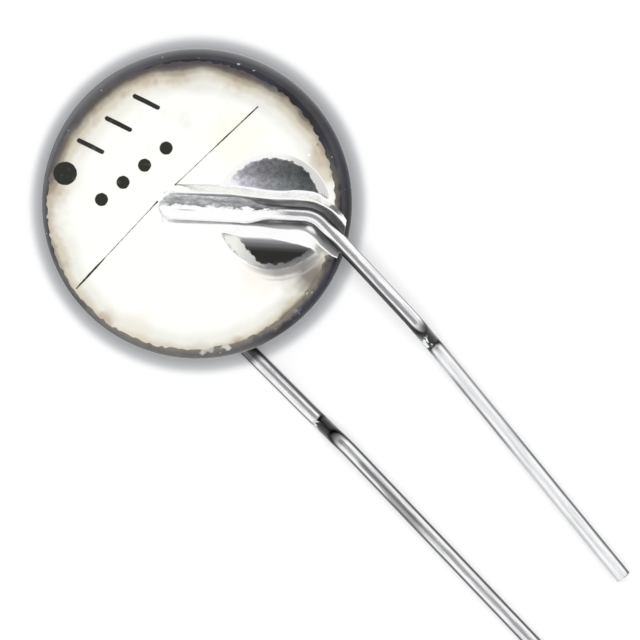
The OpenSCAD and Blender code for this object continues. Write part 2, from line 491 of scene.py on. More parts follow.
# %% Model the dots and the stroke of ink
STROKE_L, STROKE_W, DOT_R, INDEX_R, INK_T = 1.15, 0.18, 0.25, 0.45, 0.02
BLOT_SIDES, BLOT_SHAKE, LINE_SHAKE = 48, 0.007, 0.006


def shake_flat(shake, seed, height):
    """Shakes all of a flat mesh that lies at a height, and presses it flat again."""
    take_all()
    bpy.ops.transform.vertex_random(offset=shake, uniform=1, seed=seed)
    take_all()
    resize((1, 1, 0), (0, 0, height))


def draw_blot(name, radius, stretch, seed):
    """A flat round blot of ink, or a stroke where its two halves are pulled apart."""
    blot = edit_circle(name, BLOT_SIDES, radius, (0, 0, DISC_T))
    for side in (-1, 1):
        pick(blot, lambda p: p.x * side > 0.0001)
        shift(side * stretch / 2, 0, 0)
    take_all()
    bpy.ops.mesh.inset(thickness=radius * 0.25)
    shake_flat(BLOT_SHAKE, seed, DISC_T)
    leave_editing()
    return blot


index_dot = draw_blot("index_dot", INDEX_R, 0, 3)
stroke = draw_blot("stroke", STROKE_W / 2, STROKE_L - STROKE_W, 4)
row_dot = draw_blot("row_dot", DOT_R, 0, 6)
for blot in (index_dot, stroke, row_dot):
    report(blot)

# %% [markdown]
# A stroke and a dot are copied to every place in their rows, each copy with its own mesh. The
# rows are turned a little on the disc, as the stamp was.

# %% Put the blots in their rows
INDEX_PLACE, ROW_TURN, STROKE_SLANT = (-4.4, -2.77), -6.5, 25
STROKE_ROW = [(-4.27, -1.83), (-4.27, -0.46), (-4.27, 0.91)]
DOT_ROW = [(-2.4, -2.78), (-2.4, -1.72), (-2.4, -0.66), (-2.4, 0.4)]


def put_at(piece, place, turn):
    """Turns a flat piece and moves it to its place on the disc, in its mesh."""
    turned = Matrix.Rotation(radians(turn), 4, "Z")
    move_mesh(piece, Matrix.Translation((place[0], place[1], 0)) @ turned)


def copy_of(piece):
    twin = piece.copy()
    twin.data = piece.data.copy()
    bpy.context.collection.objects.link(twin)
    return twin


row = Matrix.Rotation(radians(ROW_TURN), 3, "Z")
put_at(index_dot, INDEX_PLACE, 0)
blots = [index_dot]
for shape, places, turn in ((stroke, STROKE_ROW, STROKE_SLANT), (row_dot, DOT_ROW, 0)):
    for blot, place in zip([copy_of(shape) for _ in places[1:]] + [shape], places[1:] + places):
        put_at(blot, row @ Vector((*place, 0)), ROW_TURN + turn)
        blots.append(blot)
print(len(blots), "blots of ink")

# %% [markdown]
# A hair-fine line crosses the silver on both sides of the wire. It is a long thin plane, cut
# across many times so that it can follow the rounded rim and wander a little.

# %% Model the fine line and lay all the ink on the silver
LINES = [((-0.96, -5.6), (-1.12, -1.0)), ((-1.09, -0.1), (-0.97, 4.3))]
LINE_W, LINE_CUTS = 0.05, 60
# how much of its width each line has, at shares of its way from its lower left end
LINE_FLOW = [[(0, 0.9), (0.08, 1.4), (0.26, 1.5), (0.36, 0.4), (0.86, 0.35), (1, 1.0)],
             [(0, 0.9), (0.08, 0.3), (0.4, 0.32), (0.5, 0.8), (0.62, 1.0), (0.72, 0.7), (1, 1.0)]]
for count, (low, high) in enumerate(LINES):
    way = Vector(high) - Vector(low)
    line = add(bpy.ops.mesh.primitive_plane_add, f"fine_line_{count}", size=1)
    edit_all()
    resize((LINE_W, way.length, 1), (0, 0, 0))
    pick(line, lambda p: abs(p.x) > 0.001, "EDGE")
    bpy.ops.mesh.subdivide(number_cuts=LINE_CUTS)
    for cut in range(LINE_CUTS + 2):
        share = cut / (LINE_CUTS + 1)
        at = (share - 0.5) * way.length
        pick(line, lambda p: abs(p.y - at) < 0.01)
        resize((between(LINE_FLOW[count], share), 1, 1), (0, at, 0))
    shake_flat(LINE_SHAKE, 20 + count, 0)
    shift(0, 0, DISC_T)
    leave_editing()
    turn = -90 + Vector((1, 0)).angle_signed(way) * -180 / pi
    put_at(line, (Vector(low) + Vector(high)) / 2, turn)
    blots.append(line)
ink = join(blots)
ink.name = ink.data.name = "ink_marks"
lay_down(ink, upper_film, INK_T)
report(ink)

# %% [markdown]
# ## The wires
# A straight length of wire is flattened at one end in a press, and then bent. The model is
# made in the same order: a ring is extruded along X, resized where the press flattened it,
# and the straight wire is bent by a Curve modifier along its path. The path is written as a
# list of runs and turns, as a wire is bent on a jig.

# %% The path of a wire, as points a twentieth of a millimetre apart
PATH_STEP = 0.05


def lean_length(way_from, way_to):
    return LEAN_R * abs(sin(radians(way_to)) - sin(radians(way_from)))


def path_steps(lead, corner_r):
    """The runs, the turns to the left and the dips of a wire, from its tip."""
    _, way_in, way_mid, way_out = lead
    turn = FACE_ANGLE - way_in
    corner_l = corner_r * tan(radians(turn / 2))
    rim_l = JOGGLE_X - JOGGLE_L / 2 - lean_length(way_in, way_mid) - CORNER_X
    tail_l = REACH - JOGGLE_X - JOGGLE_L / 2 - lean_length(way_mid, way_out)
    return [("run", FACE_L - corner_l), ("turn", corner_r, -turn),
            ("run", rim_l / cos(radians(way_in)) - corner_l),
            ("turn", LEAN_R, way_mid - way_in), ("dip", JOGGLE_R, JOGGLE_ANGLE), ("run", SLOPE_L),
            ("dip", JOGGLE_R, -JOGGLE_ANGLE), ("turn", LEAN_R, way_out - way_mid),
            ("run", tail_l / cos(radians(way_out)))]


def wire_path(lead, corner_r=CORNER_R):
    place = Vector((CORNER_X, lead[0], WIRE_Z))
    place -= FACE_L * Vector((cos(radians(FACE_ANGLE)), sin(radians(FACE_ANGLE)), 0))
    points, heading, slope = [place.copy()], FACE_ANGLE, 0
    for kind, size, *bend in path_steps(lead, corner_r):
        length = size if kind == "run" else size * radians(abs(bend[0]))
        count = max(2, round(length / PATH_STEP))
        half_turn = bend[0] / count / 2 if kind == "turn" else 0
        half_dip = bend[0] / count / 2 if kind == "dip" else 0
        for _ in range(count):
            heading += half_turn
            slope += half_dip
            way = Vector((cos(radians(heading)) * cos(radians(slope)),
                          sin(radians(heading)) * cos(radians(slope)), -sin(radians(slope))))
            place += way * length / count
            points.append(place.copy())
            heading += half_turn
            slope += half_dip
    return points


def length_of(points):
    return sum((b - a).length for a, b in zip(points, points[1:]))


upper_way, lower_way = wire_path(UPPER_LEAD), wire_path(LOWER_LEAD)
print(f"wires {length_of(upper_way):.2f} and {length_of(lower_way):.2f} mm long")

# %% Bend a straight piece along a path
def bend_along(piece, points):
    """Bends a piece that lies along X with a curve through the points."""
    curve = bpy.data.curves.new(piece.name + "_path", "CURVE")
    curve.dimensions, curve.twist_mode, curve.use_deform_bounds = "3D", "Z_UP", False
    spline = curve.splines.new("POLY")
    spline.points.add(len(points) - 1)
    for point, place in zip(spline.points, points):
        point.co = (*place, 1)
    path = bpy.data.objects.new(curve.name, curve)
    bpy.context.collection.objects.link(path)
    modify(piece, "CURVE", object=path, deform_axis="POS_X")
    bpy.data.objects.remove(path)


print("a path has", len(upper_way), "points")

# %% [markdown]
# The press leaves a blade as wide as it is thin, with a round tip, a short taper to the round
# wire and a slight roll. Every vertex of the straight wire remembers its place, in wire radii
# across, so that the streaks of the finish can follow the wire through its bends.

# %% Model a straight wire with its flattened end
WIRE_SIDES, END_ROUND, END_L, STATION_STEP = 32, 0.04, 0.03, 0.1
TIP_STATIONS = [BLADE_W / 2, 0.42, 0.32, 0.22, 0.13, 0.06, 0.02, 0.0]


def pressed(along):
    """1 on the blade, 0 on the round wire."""
    return min(1, max(0, (BLADE_L + TAPER_L - along) / TAPER_L))


def wire_section(along):
    """Width, thickness and rise of the wire at a distance from its tip."""
    press = pressed(along)
    press = press * press * (3 - 2 * press)
    width = 2 * WIRE_R + (BLADE_W - 2 * WIRE_R) * press
    thick = 2 * WIRE_R + (BLADE_T - 2 * WIRE_R) * press
    if along < BLADE_W / 2:
        width *= sqrt(max(0.02, 1 - (1 - along / (BLADE_W / 2)) ** 2))
        thick *= 0.75 + 0.25 * along / (BLADE_W / 2)
    return width, thick, (WIRE_R - BLADE_T / 2) * press


def wire_stations(length):
    stations = [length - END_L]
    while stations[-1] > BLADE_W / 2 + STATION_STEP:
        stations.append(stations[-1] - STATION_STEP)
    return stations + TIP_STATIONS


def draw_wire(name, points):
    length = length_of(points)
    wire = edit_circle(name, WIRE_SIDES, WIRE_R - END_ROUND, (length, 0, 0), (0, pi / 2, 0))
    last, rise_of_last = length, 0
    width = thick = 2 * WIRE_R - 2 * END_ROUND
    for along in wire_stations(length):
        bpy.ops.mesh.extrude_region_move(TRANSFORM_OT_translate={"value": (along - last, 0, 0)})
        new_width, new_thick, new_rise = wire_section(along)
        resize((1, new_width / width, new_thick / thick), (along, 0, rise_of_last))
        shift(0, 0, new_rise - rise_of_last)
        last, width, thick, rise_of_last = along, new_width, new_thick, new_rise
    for along in wire_stations(length):
        if pressed(along) > 0:
            pick(wire, lambda p: abs(p.x - along) < 0.005)
            bpy.ops.transform.rotate(value=radians(BLADE_ROLL * pressed(along)), orient_axis="X",
                                     center_override=(along, 0, wire_section(along)[2]))
            shift(0, 0, -BLADE_DROP * pressed(along))
    take_all()
    bpy.ops.mesh.remove_doubles(threshold=0.0005)
    bpy.ops.mesh.normals_make_consistent(inside=False)
    leave_editing()
    straight = [Vector((p.x, p.y / WIRE_R, p.z / WIRE_R)) for p in places_of(wire)]
    store(wire, "wire_place", straight)
    bend_along(wire, points)
    report(wire)
    return wire


upper_wire = draw_wire("upper_wire", upper_way)
lower_wire = draw_wire("lower_wire", lower_way)

# %% [markdown]
# ## The solder
# Each wire lies in a ridge of solder that wets its sides and runs out in a hollow slope, and
# under it a round pool has frozen flat with a raised lip. The ridge starts as a straight grid
# whose rows are lifted to that section, is closed downwards, and bends along the same path as
# its wire, with a wider corner.

# %% The section of the ridge, in millimetres
RIDGE_L, RIDGE_CORNER_R, SINK, CREST_H, CREST_ROW = 7.9, 2.4, 0.03, 0.42, 0.5
# how far the crest and the foot of the ridge are from the wire's middle, at places along it
UPPER_CREST = [(0, 0.6), (2.6, 0.64), (3.4, 0.59), (4.3, 0.53), (5.3, 0.57), (5.8, 0.66),
               (6.4, 0.67), (7.1, 0.58), (7.9, 0.4)]
UPPER_FOOT = [(0, 0.61), (0.15, 0.72), (0.35, 0.85), (0.7, 0.97), (2.6, 1.07), (3.7, 1.03),
              (4.8, 1.0), (5.7, 1.08), (6.05, 0.99), (6.7, 0.83), (7.1, 0.68), (7.9, 0.44)]
UNDER_CREST = [(0, 0.6), (1.0, 0.61), (2.7, 0.56), (3.8, 0.55), (4.4, 0.61), (5.0, 0.62),
               (5.8, 0.54), (6.25, 0.57), (6.8, 0.66), (7.5, 0.61), (7.9, 0.4)]
UNDER_FOOT = [(0, 0.61), (0.15, 0.68), (0.35, 0.78), (0.7, 0.87), (2.7, 0.93), (3.26, 1.1),
              (4.4, 1.12), (5.3, 1.28), (6.0, 1.22), (6.6, 1.09), (7.07, 0.97), (7.5, 0.69),
              (7.9, 0.44)]
RIDGE_HEIGHT = [(0, 0.1), (0.15, 0.55), (0.3, 0.85), (0.6, 1), (7.9, 1)]
print(f"ridge {RIDGE_L} mm long, crest {CREST_H} mm above the wire's middle")

# %% Model the ridges of solder
RIDGE_COLUMNS, RIDGE_ROWS, HOLLOW = 76, 40, 1.15


def close_downwards(base):
    """Gives a bowed sheet walls and a flat base at a height."""
    take_all()
    bpy.ops.mesh.extrude_region_move(TRANSFORM_OT_translate={"value": (0, 0, -1)})
    resize((1, 1, 0), (0, 0, base))
    take_all()
    bpy.ops.mesh.normals_make_consistent(inside=False)


def lift_rows(ridge):
    """Lifts the rows of a flat grid to a crest with hollow slopes."""
    for row in range(RIDGE_ROWS // 2 + 1):
        share = 2 * row / RIDGE_ROWS
        pick(ridge, lambda p: abs(abs(p.y) - share) < 0.01)
        down = min(1, max(0, (share - CREST_ROW) / (1 - CREST_ROW)))
        shift(0, 0, CREST_H * (1 - down) ** HOLLOW - SINK * down)


def shape_column(ridge, along):
    """Sets the height and the widths of the ridge at a distance from the wire's tip."""
    pick(ridge, lambda p: abs(p.x - along) < 0.01)
    resize((1, 1, between(RIDGE_HEIGHT, along)), (along, 0, -SINK))
    for side, crests, feet in ((1, UPPER_CREST, UPPER_FOOT), (-1, UNDER_CREST, UNDER_FOOT)):
        crest, foot = between(crests, along), between(feet, along)
        pick(ridge, lambda p: abs(p.x - along) < 0.01 and CREST_ROW + 0.01 < p.y * side)
        stretch = (foot - crest) / (1 - CREST_ROW)
        resize((1, stretch, 1), (along, side * CREST_ROW, 0))
        shift(0, side * (crest - CREST_ROW), 0)
        pick(ridge, lambda p: abs(p.x - along) < 0.01 and 0 < p.y * side < CREST_ROW + 0.01)
        resize((1, crest / CREST_ROW, 1), (along, 0, 0))


def draw_ridge(name, points):
    ridge = add(bpy.ops.mesh.primitive_grid_add, name, x_subdivisions=RIDGE_COLUMNS,
                y_subdivisions=RIDGE_ROWS, size=2)
    edit_all()
    resize((RIDGE_L / 2, 1, 1), (0, 0, 0))
    shift(RIDGE_L / 2, 0, 0)
    lift_rows(ridge)
    for column in range(RIDGE_COLUMNS + 1):
        shape_column(ridge, RIDGE_L * column / RIDGE_COLUMNS)
    close_downwards(-2 * SINK)
    shift(0, 0, FACE_Z - WIRE_Z)
    leave_editing()
    bend_along(ridge, points)
    report(ridge)
    return ridge


upper_ridge = draw_ridge("upper_solder", wire_path(UPPER_LEAD, RIDGE_CORNER_R))
lower_ridge = draw_ridge("lower_solder", wire_path(LOWER_LEAD, RIDGE_CORNER_R))

# %% [markdown]
# The pool starts as a circle with rings, each lifted to the section of a frozen drop. A voxel
# Remesh melts the ridge and the pool into one piece, and Smooth takes off its steps. A Boolean
# ends it at the flat of the disc.

# %% Model the pools and melt them with their ridges
POOL_S, POOL_T, POOL_SIDES = 4.37, 0.07, 96
POOL_SECTION = [(2.32, -0.03), (2.26, 0.01), (2.19, 0.045), (2.11, 0.06), (2.04, 0.05),
                (1.97, 0.035), (1.7, 0.035), (1.3, 0.055), (0.8, 0.1), (0.3, 0.12)]
VOXEL, SOLDER_REACH, CUTTER_H = 0.04, 5.8, 8


def disc_point(along, across, lead):
    """The place on the disc of a point given along and across the straight wire on the face."""
    way, side = radians(FACE_ANGLE), radians(FACE_ANGLE + 90)
    x = CORNER_X + (along - FACE_L) * cos(way) + across * cos(side)
    return x, lead[0] + (along - FACE_L) * sin(way) + across * sin(side)


def draw_pool(name, x, y):
    pool = edit_circle(name, POOL_SIDES, POOL_SECTION[0][0], (x, y, FACE_Z))
    for (radius, _), (smaller, _) in zip(POOL_SECTION, POOL_SECTION[1:]):
        bpy.ops.mesh.inset(thickness=radius - smaller)
    for radius, height in POOL_SECTION:
        pick(pool, lambda p: abs(hypot(p.x - x, p.y - y) - radius) < 0.015)
        shift(0, 0, height)
    close_downwards(FACE_Z - 2 * SINK)
    leave_editing()
    return pool


def melt(ridge, lead):
    """Melts a ridge and the pool under it into one piece."""
    solder = join([ridge, draw_pool(ridge.name + "_pool", *disc_point(POOL_S, POOL_T, lead))])
    modify(solder, "REMESH", mode="VOXEL", voxel_size=VOXEL, adaptivity=0)
    modify(solder, "SMOOTH", factor=0.5, iterations=4)
    cutter = add(bpy.ops.mesh.primitive_cylinder_add, "cutter", vertices=DISC_SIDES,
                 radius=SOLDER_REACH, depth=CUTTER_H)
    modify(solder, "BOOLEAN", operation="INTERSECT", object=cutter, solver="EXACT")
    bpy.data.objects.remove(cutter)
    report(solder)
    return solder


upper_solder = melt(upper_ridge, UPPER_LEAD)
lower_solder = melt(lower_ridge, LOWER_LEAD)

# %% [markdown]
# ## Places that the finishes follow
# The solder's streaks run beside the bent wire, and its pool is marked from the straight wire's
# tip. So its vertices carry both: their place along and across the straight line of the blade,
# and how far along the wire's path they lie and how far to its left. The two wires share one
# finish, which reads a number to tell them apart.

# %% Write the places to the vertices
def beside(piece, points):
    """How far along a wire's path each vertex lies, and how far to the left of it."""
    lengths = [0, *accumulate((b - a).length for a, b in zip(points, points[1:]))]
    finder = kdtree.KDTree(len(points))
    for number, point in enumerate(points):
        finder.insert((point.x, point.y, 0), number)
    finder.balance()
    found = []
    for place in places_of(piece):
        number = min(finder.find((place.x, place.y, 0))[1], len(points) - 2)
        way = (points[number + 1] - points[number]).normalized()
        away = place - points[number]
        found.append(Vector((lengths[number] + way.x * away.x + way.y * away.y,
                             way.x * away.y - way.y * away.x, place.z)))
    return found


unturn = Matrix.Rotation(-radians(FACE_ANGLE), 3, "Z")
for solder, lead in ((upper_solder, UPPER_LEAD), (lower_solder, LOWER_LEAD)):
    tip = Vector((*disc_point(0, 0, lead), 0))
    store(solder, "wire_place", [unturn @ (p - tip) for p in places_of(solder)])
    store(solder, "beside_wire", beside(solder, wire_path(lead)))
for wire, which in ((upper_wire, 0.0), (lower_wire, 1.0)):
    store(wire, "which_wire", [which] * len(wire.data.vertices))
print("solder knows", ", ".join(layer.name for layer in upper_solder.data.attributes))

# %% [markdown]
# Each piece was modelled on the disc's own axes, as if its face lay on top. Now it goes to its
# place, turned over for the lower face, is shrunk to metres, and stands for its CAD node.

# %% End of the part
SMOOTH_ANGLE = 35
for piece, node, slot in (
        (disc, "ceramic_disc", "ceramic"), (upper_film, "front_electrode", "electrode"),
        (lower_film, "back_electrode", "electrode"), (upper_solder, "front_solder", "solder"),
        (lower_solder, "back_solder", "solder"), (upper_wire, "front_lead", "tinned_wire"),
        (lower_wire, "back_lead", "tinned_wire"), (ink, "marking", "ink")):
    turn = Matrix.Rotation(pi if piece.name.startswith("lower") else 0, 4, "X")
    move_mesh(piece, Matrix.Translation((DISC_X, 0, MID_Z)) @ turn)
    move_mesh(piece, Matrix.Scale(MM, 4))
    bpy.ops.object.shade_smooth_by_angle(angle=radians(SMOOTH_ANGLE))
    store(piece, "level", [abs(v.normal.z) for v in piece.data.vertices])
    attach(piece, "root")
    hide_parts(node)
    report(piece)

# %% [markdown]
# ## Shared effects
# The finishes share three effects, each a node group: soft blotches from noise, round spots at
# a named place for the stains and chips that the real disc has, and a fine grain for bumps.

# %% What the groups are made of
def noise(place, scale, detail, rough=0.5):
    return out("TexNoise", {"Vector": place, "Scale": scale, "Detail": detail, "Roughness": rough})


def distance(place, point):
    return out("VectorMath", {0: place, 1: point}, "Value", operation="DISTANCE")


def new_group(name, inputs, output):
    """Starts a node group: its tree, what it is given, and where its result goes."""
    group = bpy.data.node_groups.new(name, "ShaderNodeTree")
    for label in inputs:
        kind = "NodeSocketVector" if label in ("Vector", "Centre") else "NodeSocketFloat"
        group.interface.new_socket(label, in_out="INPUT", socket_type=kind)
    group.interface.new_socket(output, in_out="OUTPUT", socket_type="NodeSocketFloat")
    sockets = group.nodes.new("NodeGroupInput").outputs
    given = [Signal(sockets[label]) for label in inputs]
    return group, given, group.nodes.new("NodeGroupOutput").inputs[output]


print("groups can be made")

# %% Node groups for blotches, spots and grain
tree, given, result = new_group("Blotches", ("Vector", "Scale", "Detail", "Low", "High"), "Mask")
place, scale, detail, low, high = given
fill(result, rise(noise(place, scale, detail, 0.55), low, high))
blotch_group = tree

tree, given, result = new_group("Round spot", ("Vector", "Centre", "Radius", "Edge", "Wobble"),
                                "Mask")
place, centre, radius, edge, wobble = given
reach = distance(place, centre) + (noise(place, 2.2, 3.0) - 0.5) * wobble
fill(result, fall(reach, radius, radius + edge))
spot_group = tree

tree, (place, scale), result = new_group("Fine grain", ("Vector", "Scale"), "Height")
fill(result, noise(place, scale, 4.0))
grain_group = tree
print("groups:", ", ".join(group.name for group in bpy.data.node_groups))

# %% Using the groups, and places in a material
def use(group, *values):
    return out("Group", in_order(values), node_tree=group)


def blotches(place, scale, detail, low, high):
    return use(blotch_group, place, scale, detail, low, high)


def spot(place, centre, radius, edge, wobble):
    """1 within a radius of a place, with a soft edge that wobbles."""
    return use(spot_group, place, (*centre, 0), radius, edge, wobble)


def attribute(name, output="Fac"):
    return out("Attribute", output=output, attribute_name=name)


def dot(place, way):
    """How far a place lies in a direction."""
    return out("VectorMath", {0: place, 1: way}, "Value", operation="DOT_PRODUCT")


def scaled(place, scale):
    return out("Mapping", {"Vector": place, "Scale": scale})


def flattened(place):
    """The same place with its height taken out."""
    return out("VectorMath", {0: place, 1: (1, 1, 0)}, operation="MULTIPLY")


def parts_of(place):
    """The X and the Y of a place."""
    split = add_node("SeparateXYZ", {0: place}).outputs
    return Signal(split["X"]), Signal(split["Y"])


def close_with_grain(looks, place, scale, depth):
    """Ends a material with its looks and with a fine grain of a depth in metres."""
    height = use(grain_group, place, scale)
    normal = out("Bump", {"Height": height, "Distance": depth, "Strength": 1.0})
    close_material(out("BsdfPrincipled", {**looks, "Normal": normal}))


print("places, blotches and spots are ready")

# %% [markdown]
# ## Finish of the ceramic
# The ceramic is nearly black and lies under clear lacquer, so its wall is glossy and mirrors the
# white room. It has a faint lilac and blue cast in blotches, and paler blotches toward the left
# that are painted light. The rim's round edge is painted grey at the upper left and at the bottom
# of the picture, a painted reflection of the room, and painted dark at the left, a painted shade,
# where the lacquer is also dull. Grey flecks on it are painted glints. Directions on the disc are
# named as the camera sees them, and `level` tells where a surface faces: 1 up or down, 0 sideways.

# %% Dark ceramic with its painted sheen and glints
SILVER_MIDDLE = (-0.09, -0.19, 0)
LEFT, RIGHT, DOWN = (-0.7071, -0.7071, 0), (0.7071, 0.7071, 0), (0.7071, -0.7071, 0)
BROWN_SIDE, GREY_SIDE = (0.9065, -0.4228, 0), (0.602, -0.798, 0)
tree = new_material("lacquered_ceramic", disc)
place = in_millimetres(MID_Z)
flat, level = flattened(place), attribute("level")
leftward, brownward = dot(place, LEFT), dot(flat, BROWN_SIDE)
off_wall = rise(level, 0.12, 0.4)
cast = blotches(place, 0.6, 3, 0.42, 0.62)
colour = mix(cast, (0.012, 0.01, 0.011), (0.022, 0.023, 0.035))
# paler blotches, stronger toward the left: random tone with painted light on the left side of the
# rim
paler = blotches(place, 0.5, 3, 0.3, 0.6) * fade(leftward, 0, 3.5, 0.1, 1) * off_wall
colour = mix(paler * 0.6, colour, (0.1, 0.1, 0.11))
# a brown smear of thin silver runs out over the rim
smeared = distance(flat, SILVER_MIDDLE) + (noise(flat, 1.4, 2, 0.6) - 0.5) * 0.5
smear = fall(smeared, 5.5, 5.85) * rise(brownward, -1, 2.5)
colour = mix(smear * 0.85, colour, (0.26, 0.23, 0.19))
# grey flecks: painted glints on the lacquer
fleck = rise(noise(place, 5, 2), 0.71, 0.75)
colour = mix(fleck, colour, (0.45, 0.46, 0.5))
# grey on the sloped rim at the upper left and at the bottom: painted reflection of the white room
painted_sheen_rim = fall(brownward, -4.5, -1.5, 0.6) * fall(level, 0.7, 0.93)
colour = mix(painted_sheen_rim * off_wall, colour, (0.13, 0.13, 0.14))
painted_sheen_rim_below = rise(dot(place, GREY_SIDE), 4.2, 5.6, 0.6)
colour = mix(painted_sheen_rim_below * off_wall, colour, (0.17, 0.165, 0.15))
tell_nodes("dark ceramic")

# %% Pale specks on the rim, painted shade at the left, and where the lacquer is dull
# pale specks on the rim, each (place on the disc, radius, colour)
PALE_SPECKS = [((4.68, -3.15), 0.04, (0.7, 0.7, 0.68)), ((4.23, -3.93), 0.03, (0.6, 0.6, 0.58)),
         ((4.36, -3.6), 0.01, (0.5, 0.5, 0.48)), ((5.8, -0.23), 0.04, (0.32, 0.3, 0.36)),
         ((5.72, -0.58), 0.03, (0.26, 0.24, 0.3))]
for centre, radius, tint in PALE_SPECKS:
    colour = mix(spot(flat, centre, radius, 0.12, 0.9) * 0.8, colour, tint)
# dark on the left wall of the rim: painted shade, with a thinner coat there too
dark_left = rise(leftward, 1.5, 4) * fall(level, 0.3, 0.62)
colour = mix(dark_left * 0.8, colour, (0.01, 0.01, 0.012))
sheer = rise(brownward, -3, 1) * fall(level, 0.75, 0.97)
dull = largest(dark_left * 0.85, sheer * 0.75)
close_with_grain({"Base Color": colour, "Roughness": 0.45, "Specular IOR Level": 0.2,
                  "Coat Weight": 1 - dull * off_wall, "Coat Roughness": 0.08},
                 place, 1.2, 0.00004)

# %% [markdown]
# ## Finish of the silver
# Fired silver is a matt cream white. It is thin near its edge, where it turns ochre, brown and
# grey over the dark ceramic, sooner on the side that lies at the bottom of the picture. The
# real film is that simple, so the finish is too: a ramp of colours by the distance from the
# middle, which noise and a few soft spots push outwards or inwards.

# %% Fired silver, from its middle to its edge
SILVER_RAMP = [(0, (0.975, 0.97, 0.93)), (0.35, (0.84, 0.83, 0.76)), (0.56, (0.66, 0.61, 0.5)),
               (0.71, (0.38, 0.34, 0.26)), (0.82, (0.14, 0.12, 0.1)), (0.9, (0.06, 0.055, 0.055))]
RAMP_FROM, RAMP_TO = 4.2, 5.8
# places where the film ends farther out or in, each (place, soft edge, wobble, how much farther)
THICK_AND_THIN = [((-3.79, -4.39), 1.3, 0.8, 0.35), ((3.52, 4.01), 0.5, 0.5, 0.5),
                  ((5.1, 0.3), 1.3, 0.8, -0.12)]
tree = new_material("fired_silver", upper_film, lower_film)
place = in_millimetres(MID_Z)
flat = flattened(place)
brownward, wander = dot(flat, BROWN_SIDE), noise(flat, 0.55, 4, 0.6) - 0.5
reach = distance(flat, SILVER_MIDDLE)
dark_edge = rise(reach, 5.15, 5.5, 0.8) * fall(brownward, -4.5, -2)
reach = reach + wander * 0.7 - fade(brownward, -5, 4.5, -0.12, 0.5)
for centre, edge, wobble, farther in THICK_AND_THIN:
    reach = reach - spot(flat, centre, 0.3, edge, wobble) * farther
steeper = rise(reach, 4.95, 5.25, 0.35) * rise(dot(flat, (1, 0, 0)), 3.7, 4.9)
reach = reach + steeper
colour = colour_ramp(reach, RAMP_FROM, RAMP_TO, SILVER_RAMP)
print("silver from", RAMP_FROM, "to", RAMP_TO, "mm from its middle")

# %% [markdown]
# There are faint grey and yellow clouds in the film, brown stains by the solder, dark specks and
# one painted glint. Below the pool the lip's painted shadow lies as a soft grey ring, with a thin
# grey line outside it.

# %% Clouds, stains, a painted glint and the lip's painted shadow on the silver
# each (place on the disc, radius, soft edge, strength, colour)
STAINS_AND_GLINT = [((-0.74, 2.90), 0.3, 1.3, 0.35, (0.93, 0.93, 0.7)),
          ((3.62, -0.05), 0.4, 0.9, 0.4, (0.86, 0.8, 0.68)),
          ((1.9, 3.1), 0.3, 1, 0.3, (0.88, 0.84, 0.72)),
          ((2.23, 4.4), 0.2, 0.3, 0.55, (0.62, 0.55, 0.45)),
          ((2.62, 4.15), 0.2, 0.25, 0.7, (0.72, 0.64, 0.55)),
          ((1.69, 4.89), 0.03, 0.06, 0.7, (0.2, 0.18, 0.16)),
          # this white spot is a painted glint
          ((1.74, 4.37), 0.02, 0.05, 0.8, WHITE),
          ((-3.2, 3.4), 0.2, 0.6, 0.35, (0.72, 0.72, 0.7)),
          ((-0.95, 4.6), 0.2, 0.6, 0.3, (0.74, 0.74, 0.72)),
          ((1.7, -5.1), 0.3, 0.6, 0.3, (0.78, 0.72, 0.56)),
          ((4.56, 0.89), 0.2, 1, 0.45, (0.36, 0.32, 0.26)),
          ((5.05, 1.17), 0.15, 0.8, 0.8, (0.12, 0.105, 0.09))]
LIP_RING_MIDDLE, OUTER_LINE_R = (2.505, 1.793, 0), 2.42
rim_band = rise(reach, 4.5, 5.1) * blotches(flat, 0.7, 3, 0.5, 0.66)
colour = mix(rim_band * 0.45, colour, (0.36, 0.24, 0.15))
clouds = blotches(flat, 0.9, 4, 0.5, 0.75) * fall(brownward, -3.6, -0.5)
colour = mix(clouds * 0.3, colour, (0.66, 0.66, 0.62))
for centre, radius, edge, strength, tint in STAINS_AND_GLINT:
    colour = mix(spot(flat, centre, radius, edge, edge * 0.8) * strength, colour, tint)
colour = mix(dark_edge, colour, (0.06, 0.05, 0.048))
from_ring_middle = distance(flat, LIP_RING_MIDDLE) + wander * 0.3
below, rightward = dot(flat, DOWN), dot(flat, RIGHT)
# painted shadow of the pool's lip on the silver below it, and a thin grey line outside it
painted_lip_shadow = fall(from_ring_middle, 2.2, 2.38, 0.8) * rise(below, 1.7, 2.3) * rise(rightward, 1.4, 3.2)
colour = mix(painted_lip_shadow, colour, (0.22, 0.21, 0.2))
grey_line_outside = fall(abs(from_ring_middle - OUTER_LINE_R), 0.02, 0.08)
grey_line_outside = grey_line_outside * rise(below, 1.6, 2.3) * rise(rightward, 2.2, 3.3, 0.55)
colour = mix(grey_line_outside, colour, (0.45, 0.43, 0.4))
close_with_grain({"Base Color": colour, "Roughness": 0.55, "Coat Weight": 0.6,
                  "Coat Roughness": 0.12}, place, 6, 0.00001)

# %% [markdown]
# ## Finish of the solder
# Solder that has wetted the silver is bright and smooth on its slopes, and dull and grainy
# where it froze flat. The pool shows as a half-moon on each side of the wire. The upper one is
# grey, lilac and pale at its left end and darker to the right. The lower one is nearly black,
# and grey only under the ridge. Their dark is partly the dull solder and partly a painted
# reflection of the dark lens above.

